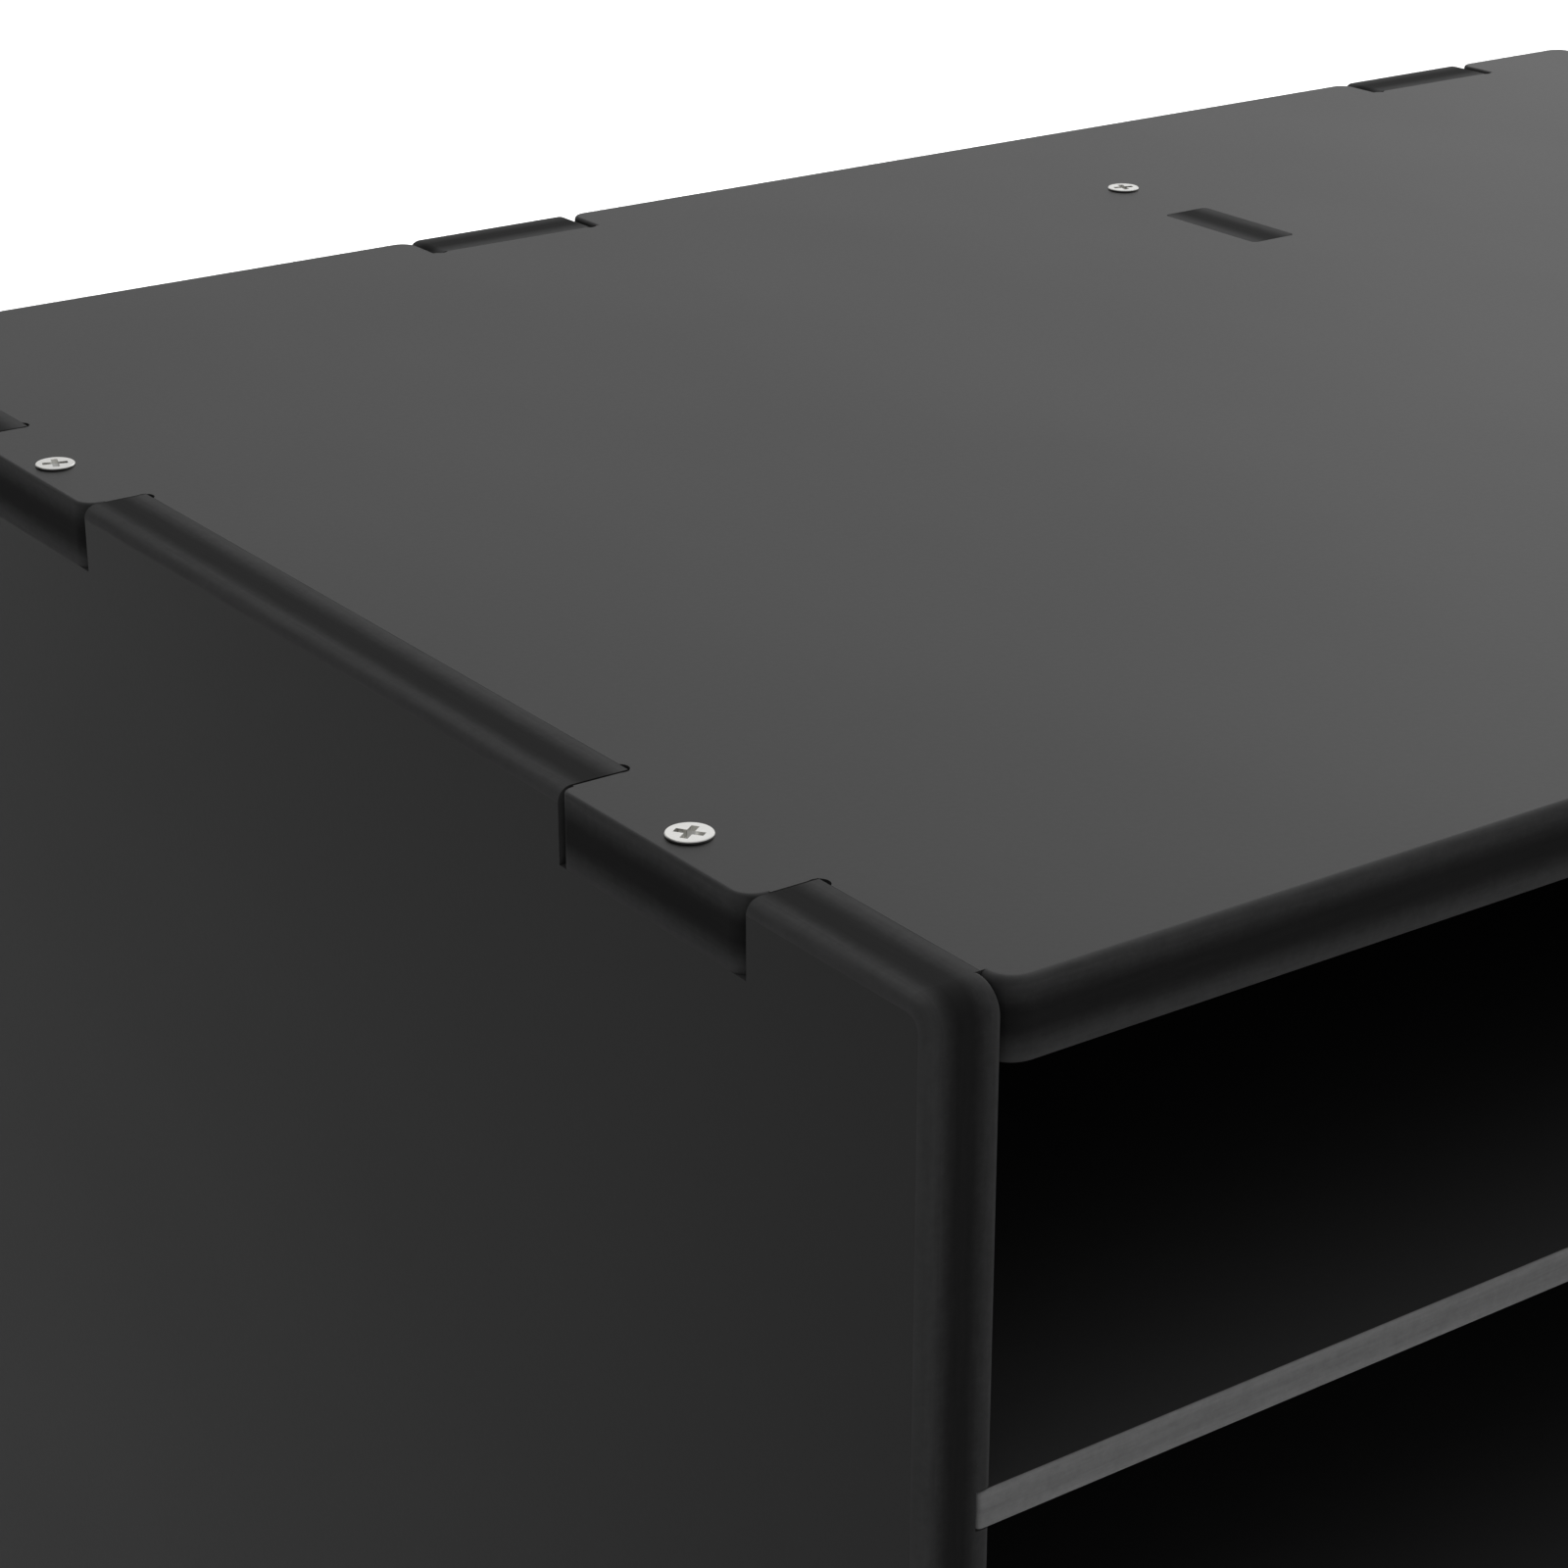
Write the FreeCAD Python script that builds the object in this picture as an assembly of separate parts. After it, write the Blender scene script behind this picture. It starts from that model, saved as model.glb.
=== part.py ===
import FreeCAD, Part
import math
import os

# Open-front mailroom sorter: a jointed board carcass, one upright divider
# and thin shelves that slide into grooves from the front.
# Units are millimetres. X is to the right, Y to the back, Z up.
# The origin is at the middle of the underside.

# ---- overall sizes ----
inner_width = 513.0          # clear width between the two side panels
case_depth = 389.0           # front edges to back edges
board = 12.7                 # thickness of every carcass board
shelf_thickness = 6.35       # thin shelf board
rows = 6                     # compartments in each column
row_clear_height = 66.9      # clear height of one compartment

# ---- divider position, from the left side panel's inner face ----
divider_centre_from_left = 299.0

# ---- tabs of the top and bottom panels that lie over the side panels ----
side_tabs = ((67.2, 49.0), (281.6, 51.2))   # middle from the front edge, length
side_screw_places = (66.0, 281.4)           # from the front edge
tab_gap_front = 0.25                        # play at the front end of a tab
tab_gap_back = 0.5                          # play at the back end of a tab
tab_front_corner_radius = 4.0
tab_back_corner_radius = 2.0
joint_clearance = 0.05                      # between edges that only meet side on

# ---- tabs of the back panel ----
back_tab_length = 43.4
first_back_tab_from_left = 155.0     # its middle to the left side panel
second_back_tab_from_right = 62.3    # its middle to the right side panel
back_tab_play = 0.3                  # at each end of a back tab

# ---- tabs of the divider, from the front edge ----
divider_tab_length = 31.2
divider_tab_centres = (86.0, 290.4)
divider_tab_play = 0.2               # at each end of a divider tab
divider_screw_places = (47.0, 331.8)
divider_screw_offset = 2.4           # screws stand this far right of the middle

# ---- eased edges and corners ----
panel_corner_radius = 5.0            # plan corners of top and bottom panels
panel_front_arris = 1.1              # outer face of top and bottom panels, front
panel_tab_arris = 0.6                # outer face, over the side panels
panel_rear_arris = 0.8               # outer face, back
notch_corner_radius = 4.0            # mouth of each notch for a back tab
side_end_corner_radius = 5.0         # upper and lower corners of a side panel
side_outer_arris = 2.4
side_inner_arris = 1.2
back_tab_corner_radius = 2.6
back_arris = 0.4
slot_corner_radius = 1.5             # divider slots, and the divider's front edge
shelf_arris = 0.4
shelf_corner_radius = 1.0
relief_radius = 1.8                  # cutter relief in each inner notch corner
relief_bite = 0.75                   # how far the relief reaches into the panel
relief_overrun = 0.15                # how far it reaches into the tab's side
square_strip = 2.0                   # width kept square where panels meet
square_start = 0.4                   # square edges start this far past a corner

# ---- shelf grooves ----
side_groove_depth = 2.8
divider_groove_depth = 2.8
groove_headroom = 0.4                # above the shelf in its groove
shelf_end_gap = 0.3                  # each end of the shelf to the groove floor
shelf_back_gap = 0.6                 # shelf to back panel

# ---- flat-head wood screws with a cross recess ----
screw_head_diameter = 7.5
screw_rim = 0.4                      # straight rim of the head
screw_head_proud = 0.5               # head stands this far above the top panel
screw_head_sunk = 0.4                # heads elsewhere sit this far below
screw_shank_diameter = 3.8
screw_length = 32.0
screw_tip_length = 4.0
screw_radial_fit = 0.05              # shank in its pilot bore
clearance_bore = 4.4                 # bore in the board under the head
recess_length = 4.8
recess_width = 1.3
recess_depth = 1.8
recess_turn = 34.0           # turn of the first recess in a row of screws
edge_screw_heights = (0.14, 0.5, 0.86)   # back panel screws, share of the height

# ---- derived sizes ----
case_height = 2 * board + rows * row_clear_height + (rows - 1) * shelf_thickness
row_pitch = row_clear_height + shelf_thickness
left_inner = -inner_width / 2
right_inner = inner_width / 2
left_outer = left_inner - board
right_outer = right_inner + board
front = -case_depth / 2
rear = case_depth / 2
back_inner = rear - board
divider_x = left_inner + divider_centre_from_left
divider_left = divider_x - board / 2
divider_right = divider_x + board / 2
underside_of_top = case_height - board
back_tab_centres = (left_inner + first_back_tab_from_left,
                    right_inner - second_back_tab_from_right)

os.makedirs("parts", exist_ok=True)


def save(name, shape):
    shape.exportStep("parts/" + name + ".step")


def corner_points(before, corner, after, radius):
    """Start, middle and end of the arc that rounds one outline corner."""
    to_before = (before - corner).normalize()
    to_after = (after - corner).normalize()
    half_angle = to_before.getAngle(to_after) / 2
    reach = radius / math.tan(half_angle)
    middle_dir = (to_before + to_after).normalize()
    centre = corner + middle_dir * (radius / math.sin(half_angle))
    middle = centre - middle_dir * radius
    return corner + to_before * reach, middle, corner + to_after * reach


def outline_face(corners, place):
    """Face from (u, v, radius) corners; place turns u, v into a point."""
    points = [place(u, v) for u, v, radius in corners]
    count = len(points)
    pieces = []
    ends = []
    for i in range(count):
        radius = corners[i][2]
        if radius > 0:
            arc = corner_points(points[i - 1], points[i], points[(i + 1) % count], radius)
            pieces.append(Part.Arc(arc[0], arc[1], arc[2]).toShape())
            ends.append((arc[0], arc[2]))
        else:
            ends.append((points[i], points[i]))
    for i in range(count):
        start = ends[i][1]
        stop = ends[(i + 1) % count][0]
        if start.distanceToPoint(stop) > 1e-6:
            pieces.append(Part.makeLine(start, stop))
    wire = Part.Wire(Part.__sortEdges__(pieces))
    return Part.Face(wire)


def edges_in_plane(shape, axis, value):
    """Edges that lie wholly in the plane axis = value (axis 0, 1 or 2)."""
    found = []
    for edge in shape.Edges:
        low = (edge.BoundBox.XMin, edge.BoundBox.YMin, edge.BoundBox.ZMin)[axis]
        high = (edge.BoundBox.XMax, edge.BoundBox.YMax, edge.BoundBox.ZMax)[axis]
        if abs(low - value) < 1e-4 and abs(high - value) < 1e-4:
            found.append(edge)
    return found


def ease(shape, axis, value, radius, wanted=None):
    """Round the arrises of one board face, or only the wanted ones."""
    edges = edges_in_plane(shape, axis, value)
    if wanted is not None:
        edges = [edge for edge in edges if wanted(edge.BoundBox)]
    return shape.makeFillet(radius, edges)


def block(x0, y0, z0, x1, y1, z1):
    return Part.makeBox(x1 - x0, y1 - y0, z1 - z0, FreeCAD.Vector(x0, y0, z0))


def spanned(low, high, a, b):
    """Box between two x values in either order, y and z as (low, high) pairs."""
    return block(min(a, b), low[0], low[1], max(a, b), high[0], high[1])


def kept_square(eased, square, boxes):
    """Bring the square edges back inside the boxes."""
    for box in boxes:
        eased = eased.fuse(square.common(box))
    return eased.removeSplitter()


def screw(turn):
    """One screw, head up, its rim's upper face at Z = 0."""
    head_radius = screw_head_diameter / 2
    shank_radius = screw_shank_diameter / 2
    cone_end = screw_rim + head_radius - shank_radius
    profile = [
        FreeCAD.Vector(0, 0, 0),
        FreeCAD.Vector(head_radius, 0, 0),
        FreeCAD.Vector(head_radius, 0, -screw_rim),
        FreeCAD.Vector(shank_radius, 0, -cone_end),
        FreeCAD.Vector(shank_radius, 0, -screw_length + screw_tip_length),
        FreeCAD.Vector(0, 0, -screw_length),
        FreeCAD.Vector(0, 0, 0),
    ]
    body = Part.Face(Part.makePolygon(profile))
    body = body.revolve(FreeCAD.Vector(0, 0, 0), FreeCAD.Vector(0, 0, 1), 360)
    rim_edges = []
    for edge in edges_in_plane(body, 2, 0.0):
        rim_edges.append(edge)
    body = body.makeChamfer(0.12, rim_edges)
    wings = []
    for direction in (0, 90):
        wing = block(-recess_length / 2, -recess_width / 2, -recess_depth,
                     recess_length / 2, recess_width / 2, 1.0)
        wing = wing.makeChamfer(0.9, [e for e in edges_in_plane(wing, 2, -recess_depth)
                                      if e.BoundBox.YLength > 0.5])
        wing.rotate(FreeCAD.Vector(0, 0, 0), FreeCAD.Vector(0, 0, 1), direction + turn)
        wings.append(wing)
    body = body.cut(wings[0].fuse(wings[1]))
    return body


def countersink(sunk):
    """Bore and seat for one screw, the board's face at Z = 0."""
    head_radius = screw_head_diameter / 2
    shank_radius = screw_shank_diameter / 2
    seat_gap = 0.03
    rim_bottom = -sunk - screw_rim
    wide = head_radius + seat_gap
    cone = head_radius - clearance_bore / 2
    tool = Part.makeCone(clearance_bore / 2 + seat_gap, wide, cone,
                         FreeCAD.Vector(0, 0, rim_bottom - cone))
    tool = tool.fuse(Part.makeCylinder(wide, 2.0 - rim_bottom, FreeCAD.Vector(0, 0, rim_bottom)))
    tool = tool.fuse(Part.makeCylinder(clearance_bore / 2, board + 2,
                                       FreeCAD.Vector(0, 0, -board - 1)))
    return tool


def pilot():
    """Bore for the screw's shank below the first board."""
    radius = screw_shank_diameter / 2 + screw_radial_fit
    return Part.makeCylinder(radius, screw_length - board + 2,
                             FreeCAD.Vector(0, 0, -screw_length - 1.5))


def aimed(shape, point, outward):
    """Copy of a screw tool moved to a point, its head facing outward."""
    copy = shape.copy()
    turn = FreeCAD.Rotation(FreeCAD.Vector(0, 0, 1), outward)
    copy.Placement = FreeCAD.Placement(point, turn).multiply(copy.Placement)
    return copy


# ---- where the screws go: group -> list of (point, outward, sunk) ----
up = FreeCAD.Vector(0, 0, 1)
down = FreeCAD.Vector(0, 0, -1)
left_way = FreeCAD.Vector(-1, 0, 0)
right_way = FreeCAD.Vector(1, 0, 0)
back_way = FreeCAD.Vector(0, 1, 0)
left_line = left_inner - board / 2
right_line = right_inner + board / 2

screw_groups = {}
for end, height, way, sunk in (
    ("top", case_height, up, -screw_head_proud),
    ("bottom", 0.0, down, screw_head_sunk),
):
    for column, x in (("left", left_line), ("right", right_line)):
        places = []
        for y in side_screw_places:
            places.append((FreeCAD.Vector(x, front + y, height), way, sunk))
        screw_groups["screws_" + end + "_" + column] = places
    places = []
    for y in divider_screw_places:
        x = divider_x + divider_screw_offset
        places.append((FreeCAD.Vector(x, front + y, height), way, sunk))
    screw_groups["screws_" + end + "_divider"] = places

for name, x, way in (
    ("screws_left_back", left_outer, left_way),
    ("screws_right_back", right_outer, right_way),
):
    places = []
    for share in edge_screw_heights:
        point = FreeCAD.Vector(x, rear - board / 2, share * case_height)
        places.append((point, way, screw_head_sunk))
    screw_groups[name] = places

places = []
for share in edge_screw_heights:
    point = FreeCAD.Vector(divider_x, rear, share * case_height)
    places.append((point, back_way, screw_head_sunk))
screw_groups["screws_back_divider"] = places


def drill(shape, names, tool_for):
    """Cut one kind of screw bore for every screw in the named groups."""
    for name in names:
        for point, way, sunk in screw_groups[name]:
            shape = shape.cut(aimed(tool_for(sunk), point, way))
    return shape


# ---- top and bottom panels ----
def lid_outline():
    """Plan outline: tabs left and right, notches for the back panel's tabs."""
    edge_right = right_inner - joint_clearance
    edge_left = left_inner + joint_clearance
    half_notch = back_tab_length / 2 + back_tab_play
    notch_floor = back_inner - joint_clearance
    corners = [(edge_left, front, panel_corner_radius),
               (edge_right, front, panel_corner_radius)]
    for centre, length in side_tabs:
        near = front + centre - length / 2
        far = front + centre + length / 2
        corners.append((edge_right, near, 0))
        corners.append((right_outer, near, tab_front_corner_radius))
        corners.append((right_outer, far, tab_back_corner_radius))
        corners.append((edge_right, far, 0))
    corners.append((edge_right, rear, panel_corner_radius))
    for middle in reversed(back_tab_centres):
        corners.append((middle + half_notch, rear, notch_corner_radius))
        corners.append((middle + half_notch, notch_floor, 0))
        corners.append((middle - half_notch, notch_floor, 0))
        corners.append((middle - half_notch, rear, notch_corner_radius))
    corners.append((edge_left, rear, panel_corner_radius))
    for centre, length in reversed(side_tabs):
        near = front + centre - length / 2
        far = front + centre + length / 2
        corners.append((edge_left, far, 0))
        corners.append((left_outer, far, tab_back_corner_radius))
        corners.append((left_outer, near, tab_front_corner_radius))
        corners.append((edge_left, near, 0))
    return corners


def notch_reliefs(z0, z1):
    """Small round reliefs where a square inner corner meets a tab root."""
    tools = []
    for edge, way in ((left_inner + joint_clearance, 1), (right_inner - joint_clearance, -1)):
        x = edge + way * (relief_bite - relief_radius)
        for centre, length in side_tabs:
            for end in (-1, 1):
                y = front + centre + end * (length / 2 + relief_radius - relief_overrun)
                tools.append(Part.makeCylinder(relief_radius, z1 - z0,
                                               FreeCAD.Vector(x, y, z0)))
    half_notch = back_tab_length / 2 + back_tab_play
    y = back_inner - joint_clearance - relief_bite + relief_radius
    for middle in back_tab_centres:
        for end in (-1, 1):
            x = middle + end * (half_notch - relief_radius + relief_overrun)
            tools.append(Part.makeCylinder(relief_radius, z1 - z0, FreeCAD.Vector(x, y, z0)))
    return tools


def lid_square_edges(z0):
    """Boxes round the edges that meet the side panels and so stay square."""
    boxes = []
    z1 = z0 + board
    run_in = panel_corner_radius + square_start
    first = front + side_tabs[0][0] - side_tabs[0][1] / 2 + square_strip
    last = front + side_tabs[-1][0] + side_tabs[-1][1] / 2 - square_strip
    for inner, outer, way in ((left_inner, left_outer, 1), (right_inner, right_outer, -1)):
        root = inner + way * joint_clearance
        line = root + way * square_strip
        near_end = outer + way * (tab_front_corner_radius + square_start)
        far_end = outer + way * (tab_back_corner_radius + square_start)
        boxes.append(spanned((front + run_in, z0), (first, z1), inner, line))
        boxes.append(spanned((last, z0), (rear - run_in, z1), inner, line))
        for centre, length in side_tabs:
            near = front + centre - length / 2
            far = front + centre + length / 2
            boxes.append(spanned((near, z0), (near + square_strip, z1), root, near_end))
            boxes.append(spanned((far - square_strip, z0), (far, z1), root, far_end))
    return boxes


def divider_slots(z0, z1):
    """Through slots for the divider's tabs."""
    tools = []
    half_slot = divider_tab_length / 2 + divider_tab_play
    half_width = board / 2 + joint_clearance
    for centre in divider_tab_centres:
        y = front + centre
        corners = [(divider_x - half_width, y - half_slot, slot_corner_radius),
                   (divider_x + half_width, y - half_slot, slot_corner_radius),
                   (divider_x + half_width, y + half_slot, slot_corner_radius),
                   (divider_x - half_width, y + half_slot, slot_corner_radius)]
        face = outline_face(corners, lambda u, v: FreeCAD.Vector(u, v, z0))
        tools.append(face.extrude(FreeCAD.Vector(0, 0, z1 - z0)))
    return tools


def lid(z0, outer_z, names):
    """Top or bottom panel with its lower face at z0."""
    face = outline_face(lid_outline(), lambda u, v: FreeCAD.Vector(u, v, z0))
    square = face.extrude(FreeCAD.Vector(0, 0, board))
    panel = ease(square, 2, outer_z, panel_front_arris,
                 lambda box: box.YMax < front + 1e-4)
    panel = ease(panel, 2, outer_z, panel_rear_arris,
                 lambda box: box.YMin > rear - 1e-4)
    panel = ease(panel, 2, outer_z, panel_tab_arris,
                 lambda box: box.XMax < left_outer + 1e-4 or box.XMin > right_outer - 1e-4)
    panel = kept_square(panel, square, lid_square_edges(z0))
    for tool in notch_reliefs(z0 - 1, z0 + board + 1):
        panel = panel.cut(tool)
    for tool in divider_slots(z0 - 1, z0 + board + 1):
        panel = panel.cut(tool)
    return drill(panel, names, countersink)


top_groups = ("screws_top_left", "screws_top_right", "screws_top_divider")
bottom_groups = ("screws_bottom_left", "screws_bottom_right", "screws_bottom_divider")
save("top_panel", lid(underside_of_top, case_height, top_groups))
save("bottom_panel", lid(0.0, 0.0, bottom_groups))


# ---- side panels ----
def shelf_floor(row):
    """Height of the lower face of a shelf, row 1 being the highest."""
    return underside_of_top - row * row_pitch


def groove_cuts(x0, x1):
    """Grooves across a board face, open at the front."""
    tools = []
    for row in range(1, rows):
        z = shelf_floor(row)
        tools.append(block(x0, front - 5, z, x1, back_inner,
                           z + shelf_thickness + groove_headroom))
    return tools


def side_outline():
    """Side view outline: fingers between the tabs of top and bottom."""
    corners = [(front, 0.0, side_end_corner_radius)]
    for centre, length in side_tabs:
        start = front + centre - length / 2 - tab_gap_front
        stop = front + centre + length / 2 + tab_gap_back
        corners.append((start, 0.0, 0))
        corners.append((start, board, 0))
        corners.append((stop, board, 0))
        corners.append((stop, 0.0, 0))
    corners.append((rear, 0.0, side_end_corner_radius))
    corners.append((rear, case_height, side_end_corner_radius))
    for centre, length in reversed(side_tabs):
        start = front + centre - length / 2 - tab_gap_front
        stop = front + centre + length / 2 + tab_gap_back
        corners.append((stop, case_height, 0))
        corners.append((stop, underside_of_top, 0))
        corners.append((start, underside_of_top, 0))
        corners.append((start, case_height, 0))
    corners.append((front, case_height, side_end_corner_radius))
    return corners


def side(inner_x, outer_x, names):
    low_x = min(inner_x, outer_x)
    toward_outside = 1 if outer_x > inner_x else -1
    face = outline_face(side_outline(), lambda u, v: FreeCAD.Vector(low_x, u, v))
    square = face.extrude(FreeCAD.Vector(board, 0, 0))
    panel = ease(square, 0, outer_x, side_outer_arris,
                 lambda box: box.YMax < front + 1e-4 or box.YMin > rear - 1e-4
                 or box.ZMax < 1e-4 or box.ZMin > case_height - 1e-4)
    panel = ease(panel, 0, inner_x, side_inner_arris,
                 lambda box: box.YMax < front + 1e-4 or box.YMin > rear - 1e-4)
    run_in = side_end_corner_radius + square_start
    strip_x = inner_x + toward_outside * square_strip
    finger_tops = []
    for z0 in (0.0, case_height - square_strip):
        finger_tops.append(spanned((front + run_in, z0), (rear - run_in, z0 + square_strip),
                                   inner_x, strip_x))
    panel = kept_square(panel, square, finger_tops)
    groove_floor = inner_x + toward_outside * side_groove_depth
    beyond = inner_x - toward_outside * 1.0
    for tool in groove_cuts(min(groove_floor, beyond), max(groove_floor, beyond)):
        panel = panel.cut(tool)
    panel = drill(panel, names[0], lambda sunk: pilot())
    panel = drill(panel, names[1], countersink)
    return panel


save("left_side_panel", side(left_inner, left_outer,
                             (("screws_top_left", "screws_bottom_left"),
                              ("screws_left_back",))))
save("right_side_panel", side(right_inner, right_outer,
                              (("screws_top_right", "screws_bottom_right"),
                               ("screws_right_back",))))


# ---- back panel ----
def back():
    left_edge = left_inner + joint_clearance
    right_edge = right_inner - joint_clearance
    half_tab = back_tab_length / 2
    corners = [(left_edge, board, 0)]
    for middle in back_tab_centres:
        corners.append((middle - half_tab, board, 0))
        corners.append((middle - half_tab, 0.0, back_tab_corner_radius))
        corners.append((middle + half_tab, 0.0, back_tab_corner_radius))
        corners.append((middle + half_tab, board, 0))
    corners.append((right_edge, board, 0))
    corners.append((right_edge, underside_of_top, 0))
    for middle in reversed(back_tab_centres):
        corners.append((middle + half_tab, underside_of_top, 0))
        corners.append((middle + half_tab, case_height, back_tab_corner_radius))
        corners.append((middle - half_tab, case_height, back_tab_corner_radius))
        corners.append((middle - half_tab, underside_of_top, 0))
    corners.append((left_edge, underside_of_top, 0))
    face = outline_face(corners, lambda u, v: FreeCAD.Vector(u, back_inner, v))
    panel = face.extrude(FreeCAD.Vector(0, board, 0))
    panel = ease(panel, 1, rear, back_arris)
    panel = drill(panel, ("screws_back_divider",), countersink)
    panel = drill(panel, ("screws_left_back", "screws_right_back"), lambda sunk: pilot())
    return panel


save("back_panel", back())


# ---- divider ----
def divider():
    half_tab = divider_tab_length / 2
    corners = [(front, board, 0)]
    for centre in divider_tab_centres:
        middle = front + centre
        corners.append((middle - half_tab, board, 0))
        corners.append((middle - half_tab, 0.0, 0))
        corners.append((middle + half_tab, 0.0, 0))
        corners.append((middle + half_tab, board, 0))
    corners.append((back_inner, board, 0))
    corners.append((back_inner, underside_of_top, 0))
    for centre in reversed(divider_tab_centres):
        middle = front + centre
        corners.append((middle + half_tab, underside_of_top, 0))
        corners.append((middle + half_tab, case_height, 0))
        corners.append((middle - half_tab, case_height, 0))
        corners.append((middle - half_tab, underside_of_top, 0))
    corners.append((front, underside_of_top, 0))
    face = outline_face(corners, lambda u, v: FreeCAD.Vector(divider_left, u, v))
    panel = face.extrude(FreeCAD.Vector(board, 0, 0))
    upright = []
    for edge in panel.Edges:
        box = edge.BoundBox
        on_front = abs(box.YMax - front) < 1e-4
        on_tab = box.ZLength < board + 1 and (box.ZMax > underside_of_top + 1
                                              or box.ZMin < board - 1)
        if on_front and box.ZLength > 1:
            upright.append(edge)
        if on_tab and box.XLength < 1e-4 and abs(box.YLength) < 1e-4:
            upright.append(edge)
    panel = panel.makeFillet(slot_corner_radius, upright)
    for tool in groove_cuts(divider_left - 1, divider_left + divider_groove_depth):
        panel = panel.cut(tool)
    for tool in groove_cuts(divider_right - divider_groove_depth, divider_right + 1):
        panel = panel.cut(tool)
    panel = drill(panel, ("screws_top_divider", "screws_bottom_divider",
                          "screws_back_divider"), lambda sunk: pilot())
    return panel


save("divider_panel", divider())


# ---- shelves ----
def shelf(x0, x1, z):
    corners = [(x0, front, shelf_corner_radius),
               (x1, front, shelf_corner_radius),
               (x1, back_inner - shelf_back_gap, shelf_corner_radius),
               (x0, back_inner - shelf_back_gap, shelf_corner_radius)]
    face = outline_face(corners, lambda u, v: FreeCAD.Vector(u, v, z))
    board_shape = face.extrude(FreeCAD.Vector(0, 0, shelf_thickness))
    board_shape = ease(board_shape, 2, z, shelf_arris)
    board_shape = ease(board_shape, 2, z + shelf_thickness, shelf_arris)
    return board_shape


for row in range(1, rows):
    z = shelf_floor(row)
    save("shelf_left_" + str(row),
         shelf(left_inner - side_groove_depth + shelf_end_gap,
               divider_left + divider_groove_depth - shelf_end_gap, z))
    save("shelf_right_" + str(row),
         shelf(divider_right - divider_groove_depth + shelf_end_gap,
               right_inner + side_groove_depth - shelf_end_gap, z))

# ---- screws, each group a set of separate solids ----
turn_step = 37.0
for group, places in sorted(screw_groups.items()):
    solids = []
    for index, (point, way, sunk) in enumerate(places):
        one = screw(recess_turn + turn_step * index)
        one.translate(FreeCAD.Vector(0, 0, -sunk))
        solids.append(aimed(one, point, way))
    save(group, Part.makeCompound(solids))
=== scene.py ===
# %% [markdown]
# # A mailroom sorter, finished board by board
#
# The object is an open-front sorter for letters, folders and flat parcels.
# A case of black coated fibreboard is cut with tabs and fingers, pulled together with
# flat-head screws, and fitted with thin shelves that slide into grooves.
# The exact shapes come from the packed frame, so this lesson is about finish:
# how a satin coated board, its darker sealed edges, and bright screws are described with nodes.
# %% Load the frame and keep its box
import math

import bpy
from mathutils import Matrix, Vector


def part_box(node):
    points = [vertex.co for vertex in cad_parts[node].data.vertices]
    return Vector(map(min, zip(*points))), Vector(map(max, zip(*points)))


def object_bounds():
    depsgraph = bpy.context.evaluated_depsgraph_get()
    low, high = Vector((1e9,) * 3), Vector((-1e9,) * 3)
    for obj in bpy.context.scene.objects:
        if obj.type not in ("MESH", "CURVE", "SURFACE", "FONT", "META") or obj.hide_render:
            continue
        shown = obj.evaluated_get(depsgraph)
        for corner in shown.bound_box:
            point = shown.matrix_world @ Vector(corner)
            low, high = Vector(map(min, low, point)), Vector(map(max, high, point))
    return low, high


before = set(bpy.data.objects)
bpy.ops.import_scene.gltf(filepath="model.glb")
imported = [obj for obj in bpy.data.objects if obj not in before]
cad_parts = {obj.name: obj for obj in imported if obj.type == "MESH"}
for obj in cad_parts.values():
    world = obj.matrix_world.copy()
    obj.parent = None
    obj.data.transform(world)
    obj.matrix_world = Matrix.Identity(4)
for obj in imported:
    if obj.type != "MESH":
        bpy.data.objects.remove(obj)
cad_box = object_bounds()

# %% [markdown]
# ## The pieces and where they are
#
# Every position below is read from the frame, never typed in twice.
# The left side panel's inner face and the top panel's upper face meet at the corner
# that the whole view is built around.
# %% Names of the pieces by kind
panels_by_axis = {
    "z": ["top_panel", "bottom_panel"],
    "x": ["left_side_panel", "right_side_panel", "divider_panel"],
    "y": ["back_panel"],
}
shelves = sorted(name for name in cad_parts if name.startswith("shelf_"))
screws = sorted(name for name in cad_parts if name.startswith("screws_"))
left_low, left_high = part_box("left_side_panel")
top_low, top_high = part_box("top_panel")
corner = Vector((left_high.x, top_low.y, top_high.z))
print("shelves:", len(shelves), "screw groups:", len(screws), "corner:", tuple(corner))

# %% [markdown]
# ## Camera
#
# The case is seen from its front left, from a little above, with a long lens close in,
# so the upper left corner fills the frame. A camera matrix is made from the direction it
# looks in: the third column points backwards, and the first stays level so nothing leans.
# %% Place the camera
LENS_MM = 84.99
SENSOR_MM = 36.0
NEAR_CLIP = 0.01
AZIMUTH = math.radians(35.397)
ELEVATION = math.radians(22.817)
CAMERA_FROM_CORNER = Vector((-0.28292, -0.34710, 0.21719))


def level_camera(name, place, azimuth, elevation, lens):
    data = bpy.data.cameras.new(name)
    data.lens = lens
    data.sensor_width = SENSOR_MM
    data.clip_start = NEAR_CLIP
    camera = bpy.data.objects.new(name, data)
    bpy.context.scene.collection.objects.link(camera)
    ahead = Vector((
        math.sin(azimuth) * math.cos(elevation),
        math.cos(azimuth) * math.cos(elevation),
        -math.sin(elevation),
    ))
    right = ahead.cross(Vector((0, 0, 1))).normalized()
    up = right.cross(ahead)
    turn = Matrix((right, up, -ahead)).transposed()
    camera.matrix_world = Matrix.Translation(place) @ turn.to_4x4()
    return camera


camera = level_camera("camera", corner + CAMERA_FROM_CORNER, AZIMUTH, ELEVATION, LENS_MM)
bpy.context.scene.camera = camera
print("camera at", tuple(round(v, 4) for v in camera.matrix_world.translation))

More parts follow.
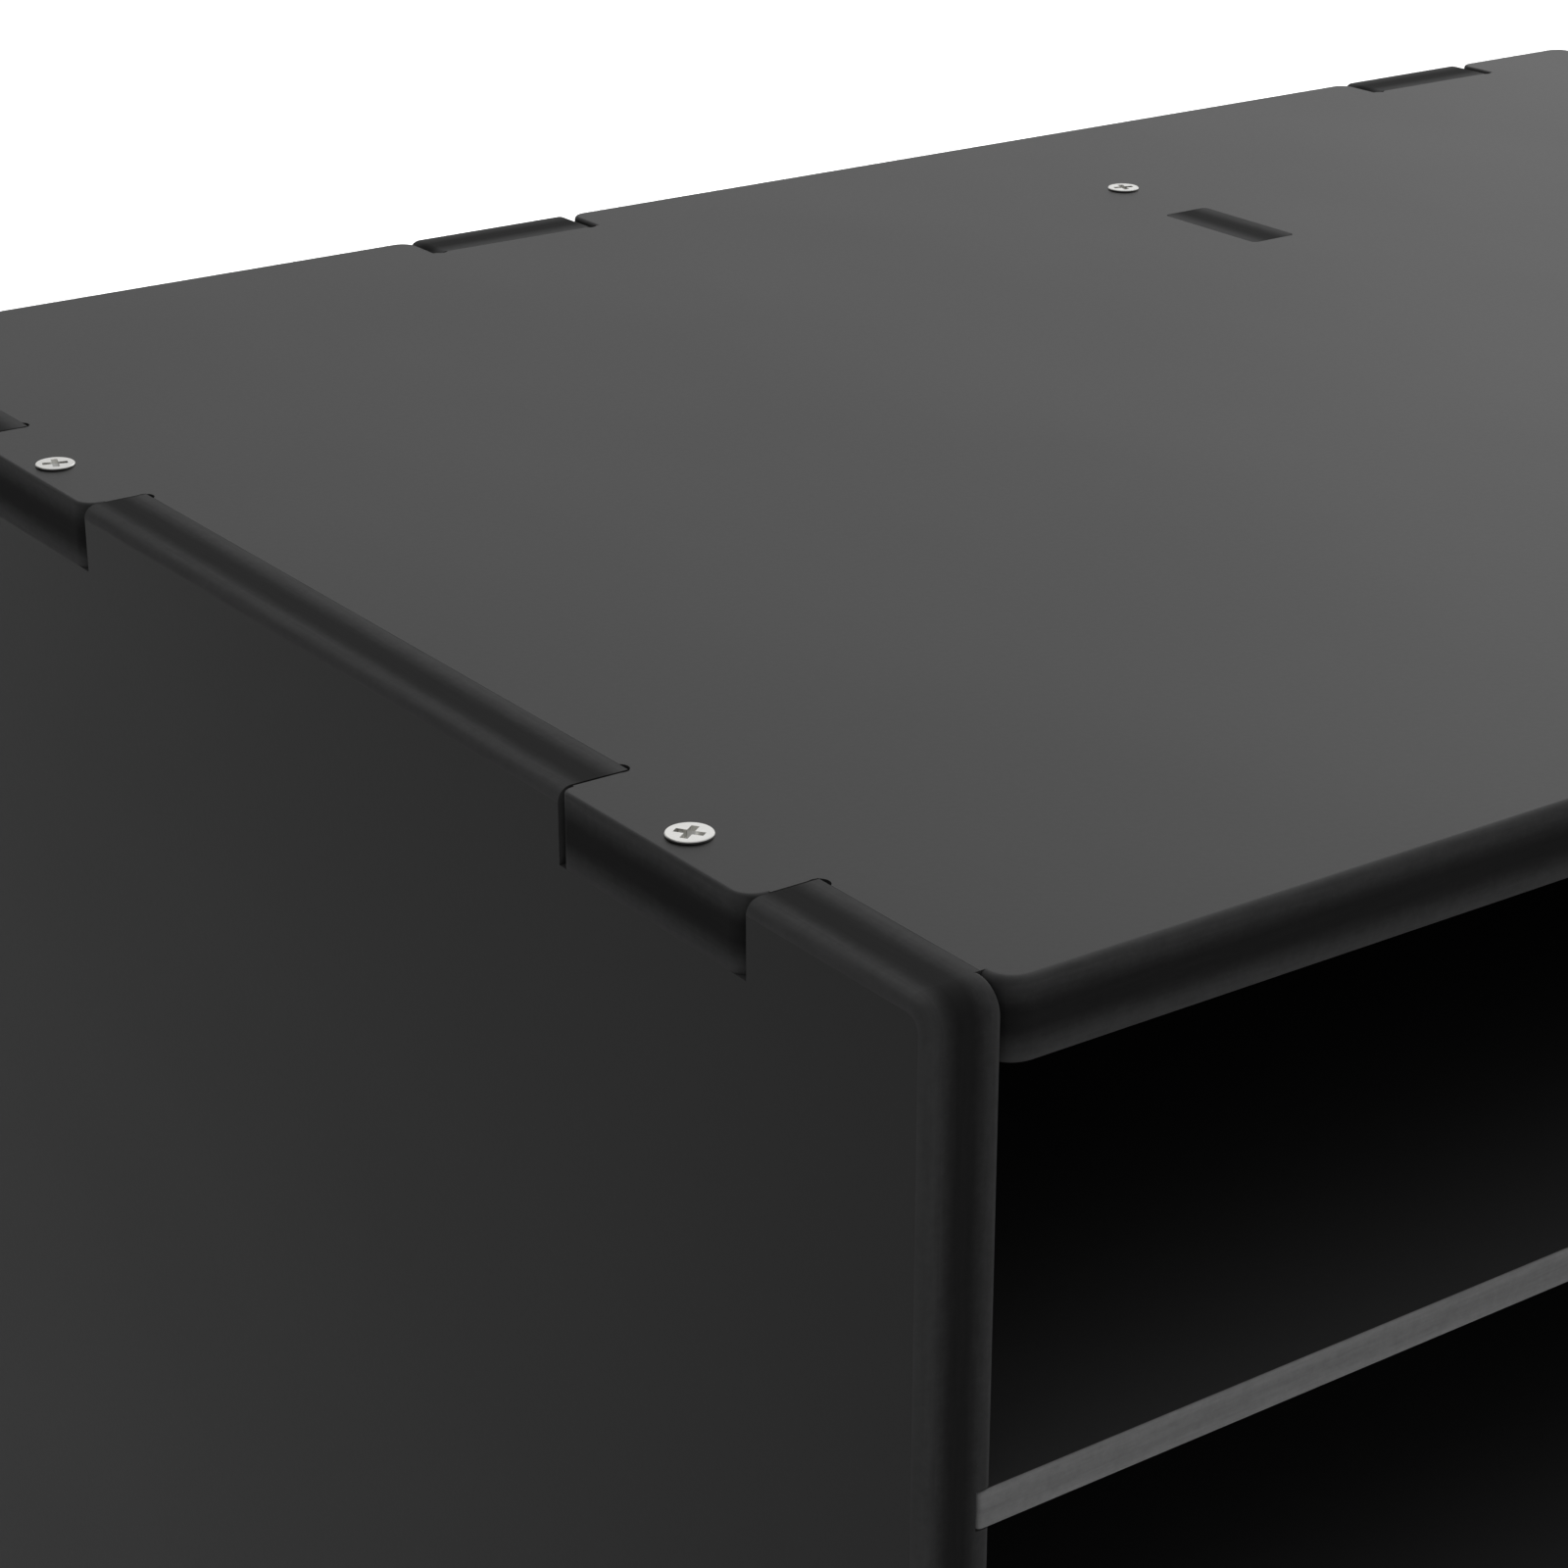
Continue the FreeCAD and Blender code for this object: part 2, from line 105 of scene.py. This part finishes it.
# %% [markdown]
# ## A small kit for node graphs
#
# Each finish is a graph of procedural nodes. A small class keeps the graphs readable. It
# adds a node and fills its sockets, does a sum, eases one range into another, tones or
# blends colours, makes soft noise of a real size in metres, and turns a height into a bump.
# Nodes could also be placed by hand in the editor; code repeats them for every finish.
# %% Node helpers


class Graph:
    """A material's node graph with short ways to add to it."""

    def __init__(self, name):
        self.material = bpy.data.materials.new(name)
        self.material.use_nodes = True
        self.tree = self.material.node_tree
        self.shader = self.tree.nodes["Principled BSDF"]
        self.place = self.add("ShaderNodeTexCoord").outputs["Object"]

    def add(self, kind, **sockets):
        node = self.tree.nodes.new(kind)
        for key, value in sockets.items():
            self.feed(node.inputs[key.replace("_", " ")], value)
        return node

    def feed(self, socket, value):
        if isinstance(value, bpy.types.NodeSocket):
            self.tree.links.new(value, socket)
        else:
            socket.default_value = value

    def math(self, operation, a, b=0.0, c=0.0, clamp=False):
        node = self.tree.nodes.new("ShaderNodeMath")
        node.operation = operation
        node.use_clamp = clamp
        for index, value in enumerate((a, b, c)):
            self.feed(node.inputs[index], value)
        return node.outputs[0]

    def ramp(self, value, low, high, to_low=0.0, to_high=1.0):
        node = self.tree.nodes.new("ShaderNodeMapRange")
        node.interpolation_type = "SMOOTHSTEP"
        for index, item in enumerate((value, low, high, to_low, to_high)):
            self.feed(node.inputs[index], item)
        return node.outputs[0]

    def toned(self, colour, tone):
        """A fixed colour made lighter or darker by a tone around 1."""
        node = self.tree.nodes.new("ShaderNodeVectorMath")
        node.operation = "SCALE"
        node.inputs[0].default_value = colour
        self.feed(node.inputs["Scale"], tone)
        return node.outputs[0]

    def mix(self, share, a, b):
        node = self.tree.nodes.new("ShaderNodeMix")
        node.data_type = "RGBA"
        self.feed(node.inputs[0], share)
        self.feed(node.inputs[6], a)
        self.feed(node.inputs[7], b)
        return node.outputs[2]

    def noise(self, size, stretch=(1, 1, 1), detail=3.0, roughness=0.55, shift=0.0):
        """Soft noise whose blobs are about size metres across, 0 to 1."""
        mapping = self.tree.nodes.new("ShaderNodeMapping")
        self.feed(mapping.inputs["Vector"], self.place)
        mapping.inputs["Location"].default_value = (shift, shift * 0.7, shift * 1.3)
        mapping.inputs["Scale"].default_value = stretch
        node = self.tree.nodes.new("ShaderNodeTexNoise")
        self.feed(node.inputs["Vector"], mapping.outputs[0])
        node.inputs["Scale"].default_value = 1.0 / size
        node.inputs["Detail"].default_value = detail
        node.inputs["Roughness"].default_value = roughness
        return node.outputs[0]

    def bump(self, height, distance, strength=1.0, onto=None):
        node = self.tree.nodes.new("ShaderNodeBump")
        node.inputs["Strength"].default_value = strength
        node.inputs["Distance"].default_value = distance
        self.feed(node.inputs["Height"], height)
        if onto is not None:
            self.feed(node.inputs["Normal"], onto)
        return node.outputs[0]


print("node helpers:", [name for name in vars(Graph) if not name.startswith("_")])

# %% [markdown]
# ## Coated faces
#
# The boards are taken to be fibreboard with a satin black skin on both wide faces. Such a
# skin has almost no colour of its own. What is seen is mostly the room, mirrored very softly,
# and more strongly the flatter the view. So the base is nearly black, the roughness sits in
# the middle, and the variation is small: a fine pebble from the coating roller, faint slow
# changes of gloss, and a gentle waviness.
# %% The face finish
SATIN_SPECULAR = 0.5
CLOUD_SIZE = 0.16
PEBBLE_SIZE = 0.0011
SMEAR_SIZE = 0.05
WAVE_SIZE = 0.03
PEBBLE_HEIGHT = 0.00002
WAVE_HEIGHT = 0.00004


def face_finish(name, colour, gloss, shift):
    graph = Graph(name)
    clouds = graph.noise(CLOUD_SIZE, detail=3.0, shift=shift)
    pebble = graph.noise(PEBBLE_SIZE, detail=2.0, shift=shift + 3)
    tone = graph.math("MULTIPLY_ADD", clouds, 0.12, 0.94)
    tone = graph.math("MULTIPLY", tone, graph.math("MULTIPLY_ADD", pebble, 0.16, 0.92))
    graph.feed(graph.shader.inputs["Base Color"], graph.toned(colour, tone))

    smears = graph.noise(SMEAR_SIZE, stretch=(1, 0.5, 1), detail=3.0, roughness=0.5,
                         shift=shift + 23)
    rough = graph.math("MULTIPLY_ADD", graph.ramp(smears, 0.2, 0.8), 0.015, gloss)
    graph.feed(graph.shader.inputs["Roughness"], graph.math("MULTIPLY_ADD", pebble, 0.04, rough))

    fine = graph.bump(pebble, PEBBLE_HEIGHT, strength=0.5)
    swell = graph.noise(WAVE_SIZE, detail=2.0, shift=shift + 29)
    waves = graph.bump(swell, WAVE_HEIGHT, 0.15, onto=fine)
    graph.feed(graph.shader.inputs["Normal"], waves)
    graph.shader.inputs["Specular IOR Level"].default_value = SATIN_SPECULAR
    return graph.material


print("face grain in mm:", PEBBLE_SIZE * 1000, "gloss patches in mm:", SMEAR_SIZE * 1000)

# %% [markdown]
# ## Sawn edges
#
# The edges are sealed ones, duller than the coated skin, with faint layers that run along
# the board. Their colour carries painted shading: an edge is drawn darkest halfway through
# and lighter beside both faces. The rounded arris carries a painted highlight, a little
# lighter, and it is smoother.
#
# Two values steer this. The place between the two faces, from the node that gives every
# piece its own 0 to 1 across its box, says how deep in the board a spot lies. The share of
# the surface direction that points along the board's thickness is 0 on the flat of the edge
# and grows only on the round of the arris.
# %% The edge finish
AXES = {"x": 0, "y": 1, "z": 2}
SEALED_SPECULAR = 0.22
LAYER_SIZE = 0.0007
FIBRE_SIZE = 0.0016
# size of the patches in the painted arris highlight
ARRIS_HIGHLIGHT_PATCH_SIZE = 0.018
LAYER_HEIGHT = 0.00004
FIBRE_HEIGHT = 0.00003
ALONG_LAYER = 0.06


def edge_finish(name, axis, shaded_middle, light_near_faces, arris, gloss, shift):
    graph = Graph(name)
    direction = graph.add("ShaderNodeNewGeometry").outputs["Normal"]
    split = graph.add("ShaderNodeSeparateXYZ", Vector=direction)
    on_arris = graph.ramp(graph.math("ABSOLUTE", split.outputs[AXES[axis]]), 0.05, 0.6)
    across = graph.add("ShaderNodeTexCoord").outputs["Generated"]
    split = graph.add("ShaderNodeSeparateXYZ", Vector=across)
    centred = graph.math("MULTIPLY_ADD", split.outputs[AXES[axis]], 2.0, -1.0)
    near_skin = graph.math("ABSOLUTE", centred)

    stretch = [ALONG_LAYER] * 3
    stretch[AXES[axis]] = 1.0
    layers = graph.noise(LAYER_SIZE, stretch=stretch, detail=3.0, shift=shift + 7)
    fibres = graph.noise(FIBRE_SIZE, detail=4.0, roughness=0.7, shift=shift + 11)
    tone = graph.math("MULTIPLY_ADD", layers, 0.4, 0.8)
    tone = graph.math("MULTIPLY", tone, graph.math("MULTIPLY_ADD", fibres, 0.4, 0.8))
    # painted shading: the edge is drawn darker halfway through and lighter towards both faces
    depth = graph.math("MULTIPLY_ADD", graph.math("SUBTRACT", fibres, 0.5), 0.12, near_skin)
    painted_shading_profile = graph.ramp(depth, 0.15, 1.0)
    # painted highlight: the arris is drawn lighter where its round turns towards the faces, in
    # noisy patches
    highlight_patches = graph.noise(ARRIS_HIGHLIGHT_PATCH_SIZE, detail=5.0, roughness=0.7, shift=shift + 17)
    painted_arris_highlight = graph.math("MULTIPLY", on_arris, graph.ramp(highlight_patches, 0.25, 0.75, 0.75, 1.0))
    colour = graph.mix(painted_shading_profile, graph.toned(shaded_middle, tone), graph.toned(light_near_faces, tone))
    colour = graph.mix(painted_arris_highlight, colour, graph.toned(arris, tone))
    graph.feed(graph.shader.inputs["Base Color"], colour)

    rough = graph.math("MULTIPLY_ADD", fibres, 0.1, gloss)
    rough = graph.math("MULTIPLY_ADD", painted_shading_profile, -0.08, rough)
    rough = graph.math("MULTIPLY_ADD", painted_arris_highlight, -0.15, rough, clamp=True)
    graph.feed(graph.shader.inputs["Roughness"], rough)
    grain = graph.bump(layers, LAYER_HEIGHT, strength=0.4)
    graph.feed(graph.shader.inputs["Normal"], graph.bump(fibres, FIBRE_HEIGHT, 0.4, onto=grain))
    graph.shader.inputs["Specular IOR Level"].default_value = SEALED_SPECULAR
    return graph.material


print("edge layers in mm:", LAYER_SIZE * 1000, "rubbed patches in mm:", ARRIS_HIGHLIGHT_PATCH_SIZE * 1000)

# %% [markdown]
# ## Two kinds of board
#
# The case boards and the thin shelves differ mostly in their edges. The shelf edges look
# much lighter than anything else black, so they get their own greys. Three case edges are
# made, one for each direction in which a board can be thin, because the layers have to
# follow the board. A number shifts the noise, so no two finishes share a pattern.
# %% Board colours
CASE_FACE = (0.0060, 0.0060, 0.0061)
# painted shading on the case edges: a darker middle and lighter bands beside the faces
CASE_EDGE_SHADED_MIDDLE = (0.0230, 0.0230, 0.0232)
CASE_EDGE_LIGHT_NEAR_FACES = (0.1000, 0.1000, 0.1010)
# painted highlight on the rounded arris of the case boards
CASE_ARRIS_HIGHLIGHT = (0.1000, 0.1000, 0.1010)
SHELF_FACE = (0.0750, 0.0750, 0.0757)
# painted shading on the shelf edges: a darker middle and lighter bands beside the faces
SHELF_EDGE_SHADED_MIDDLE = (0.3700, 0.3700, 0.3730)
SHELF_EDGE_LIGHT_NEAR_FACES = (0.4300, 0.4300, 0.4340)
# painted highlight on the rounded arris of the shelves
SHELF_ARRIS_HIGHLIGHT = (0.4600, 0.4600, 0.4640)

CASE_GLOSS = 0.40
SHELF_GLOSS = 0.42
CASE_EDGE_GLOSS = 0.80
SHELF_EDGE_GLOSS = 0.6

case_face = face_finish("coated_face", CASE_FACE, CASE_GLOSS, 2.0)
shelf_face = face_finish("shelf_face", SHELF_FACE, SHELF_GLOSS, 31.0)
case_edge = {}
for number, axis in enumerate(("x", "y", "z")):
    case_edge[axis] = edge_finish("sealed_edge_" + axis, axis, CASE_EDGE_SHADED_MIDDLE, CASE_EDGE_LIGHT_NEAR_FACES,
                                  CASE_ARRIS_HIGHLIGHT, CASE_EDGE_GLOSS, 3.0 + 5.0 * number)
shelf_edge = edge_finish("shelf_edge", "z", SHELF_EDGE_SHADED_MIDDLE, SHELF_EDGE_LIGHT_NEAR_FACES, SHELF_ARRIS_HIGHLIGHT,
                         SHELF_EDGE_GLOSS, 47.0)
print("board finishes:", [m.name for m in bpy.data.materials])

# %% [markdown]
# ## Screws
#
# The screws look like steel with bright nickel plating. The plating is a bare metal to the
# shader: a pale tint, and patches of different gloss left by handling, over a very fine
# bump. Colour stays nearly even, and the recess goes dark by its own depth.
# %% The screw finish
SCREW_GRAIN = 0.00022
SCREW_PATCH = 0.0016
SCREW_GRAIN_HEIGHT = 0.00001
NICKEL = (0.96, 0.955, 0.93)


def screw_finish():
    graph = Graph("nickel_screw")
    fine = graph.noise(SCREW_GRAIN, detail=3.0, shift=41)
    patch = graph.noise(SCREW_PATCH, detail=4.0, shift=43)
    tone = graph.math("MULTIPLY_ADD", patch, 0.12, 0.94)
    colour = graph.add("ShaderNodeCombineColor",
                       Red=graph.math("MULTIPLY", tone, NICKEL[0]),
                       Green=graph.math("MULTIPLY", tone, NICKEL[1]),
                       Blue=graph.math("MULTIPLY", tone, NICKEL[2])).outputs[0]
    graph.feed(graph.shader.inputs["Base Color"], colour)
    graph.shader.inputs["Metallic"].default_value = 1.0
    rough = graph.math("MULTIPLY_ADD", patch, 0.14, 0.2)
    graph.feed(graph.shader.inputs["Roughness"], graph.math("MULTIPLY_ADD", fine, 0.08, rough))
    graph.feed(graph.shader.inputs["Normal"], graph.bump(fine, SCREW_GRAIN_HEIGHT, 0.5))
    return graph.material


nickel = screw_finish()
print("screw finish:", nickel.name)

# %% [markdown]
# ## Put the finishes on the pieces
#
# The frame's pieces keep their shapes and only get material slots. A board has two: its
# wide faces, which are the polygons that look straight along its thickness, take the
# coated finish, and every other polygon, sawn edge or rounded arris, takes the sealed one.
# %% Assign finishes
FLAT_ENOUGH = 0.999


def finish_board(name, axis, face_material, edge_material):
    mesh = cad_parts[name].data
    mesh.materials.clear()
    mesh.materials.append(face_material)
    mesh.materials.append(edge_material)
    for polygon in mesh.polygons:
        wide = abs(polygon.normal[AXES[axis]]) > FLAT_ENOUGH
        polygon.material_index = 0 if wide else 1


for axis, names in panels_by_axis.items():
    for name in names:
        finish_board(name, axis, case_face, case_edge[axis])
for name in shelves:
    finish_board(name, "z", shelf_face, shelf_edge)
for name in screws:
    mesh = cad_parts[name].data
    mesh.materials.clear()
    mesh.materials.append(nickel)
print("boards:", sum(map(len, panels_by_axis.values())) + len(shelves), "screws:", len(screws))

# %% [markdown]
# ## Floor
#
# The case stands on a plain pale floor that runs far behind it. One big square is enough,
# and it sits a hair below the case so that the two flat faces never flicker. The floor also
# works as a reflector: it is what the left side and the front edges mostly show.
# %% Floor
FLOOR_HALF = 30.0
FLOOR_COLOUR = (0.78, 0.78, 0.78, 1.0)
FLOOR_DROP = 0.0005
FLOOR_ROUGHNESS = 0.9
FLOOR_SPECULAR = 0.1


def pale_floor():
    mesh = bpy.data.meshes.new("floor")
    corners = [(-FLOOR_HALF, -FLOOR_HALF, 0), (FLOOR_HALF, -FLOOR_HALF, 0),
               (FLOOR_HALF, FLOOR_HALF, 0), (-FLOOR_HALF, FLOOR_HALF, 0)]
    mesh.from_pydata(corners, [], [(0, 1, 2, 3)])
    floor = bpy.data.objects.new("floor", mesh)
    floor.location.z = cad_box[0][2] - FLOOR_DROP
    bpy.context.scene.collection.objects.link(floor)
    graph = Graph("pale_floor")
    graph.shader.inputs["Base Color"].default_value = FLOOR_COLOUR
    graph.shader.inputs["Roughness"].default_value = FLOOR_ROUGHNESS
    graph.shader.inputs["Specular IOR Level"].default_value = FLOOR_SPECULAR
    mesh.materials.append(graph.material)
    return floor


floor = pale_floor()
print("floor:", floor.name, "half width in m:", FLOOR_HALF)

# %% [markdown]
# ## The room
#
# A satin black board is seen by what it reflects, so the room matters as much as the
# boards. It could be a captured sky, but a few broad glows added together are simpler and
# easier to steer. The strongest is behind the case and skims the top panel; the one to the
# right makes the top lighter towards that side. A steep one overhead reaches only the front
# of each shelf, so the compartments fall off to black. A faint one in front and a faint
# even glow keep the rest from going dead black.
# %% The room
EVEN_GLOW = 0.02
# direction of a glow, where it starts as a cosine from its middle, and its strength
GLOWS = (
    ((0.53, 0.75, 0.39), 0.4, 0.56),
    ((0.95, 0.10, 0.35), 0.4, 0.30),
    ((0.00, 0.00, 1.00), 0.4, 0.36),
    ((0.30, -0.90, 0.35), 0.4, 0.04),
)


def soft_room():
    world = bpy.data.worlds.new("studio")
    world.use_nodes = True
    tree = world.node_tree
    look = tree.nodes.new("ShaderNodeTexCoord").outputs["Generated"]
    total = None
    for direction, start, strength in GLOWS:
        toward = tree.nodes.new("ShaderNodeVectorMath")
        toward.operation = "DOT_PRODUCT"
        tree.links.new(look, toward.inputs[0])
        toward.inputs[1].default_value = Vector(direction).normalized()
        fade = tree.nodes.new("ShaderNodeMapRange")
        fade.interpolation_type = "SMOOTHSTEP"
        tree.links.new(toward.outputs["Value"], fade.inputs[0])
        for index, value in enumerate((start, 1.0, 0.0, strength)):
            fade.inputs[index + 1].default_value = value
        add = tree.nodes.new("ShaderNodeMath")
        add.operation = "ADD"
        tree.links.new(fade.outputs[0], add.inputs[0])
        if total is None:
            add.inputs[1].default_value = EVEN_GLOW
        else:
            tree.links.new(total, add.inputs[1])
        total = add.outputs[0]
    background = tree.nodes["Background"]
    background.inputs["Color"].default_value = (1, 1, 1, 1)
    tree.links.new(total, background.inputs["Strength"])
    bpy.context.scene.world = world
    return world


world = soft_room()
print("room:", world.name, "glows:", len(GLOWS))

# %% [markdown]
# ## Lamps
#
# Two area lamps finish the studio. A weak one to the right and behind adds a little to the
# right of the top panel. A strong one turns its back to the case and lights only the floor
# behind it, which makes the backdrop of the main view white. It leaves a bright patch on
# the floor that shows from other sides. A lit wall would avoid that, but it might show in
# the top panel as well; that was not tried.
# %% Lamps
KEY_WATTS = 5.7
BACKDROP_WATTS = 110


def soft_light(name, place, look_at, size, watts):
    data = bpy.data.lights.new(name, "AREA")
    data.shape = "RECTANGLE"
    data.size, data.size_y = size
    data.energy = watts
    light = bpy.data.objects.new(name, data)
    light.location = place
    aim = Vector(look_at) - Vector(place)
    light.rotation_mode = "QUATERNION"
    light.rotation_quaternion = aim.to_track_quat("-Z", "Y")
    bpy.context.scene.collection.objects.link(light)
    return light


soft_light("key_light", (3.4, 1.9, 2.7), (0.0, 0.0, 0.40), (2.2, 1.8), KEY_WATTS)
soft_light("backdrop_light", (0.8, 1.0, 1.6), (1.3, 1.8, 1.25), (1.2, 1.2), BACKDROP_WATTS)
bpy.context.scene.view_settings.view_transform = "Standard"
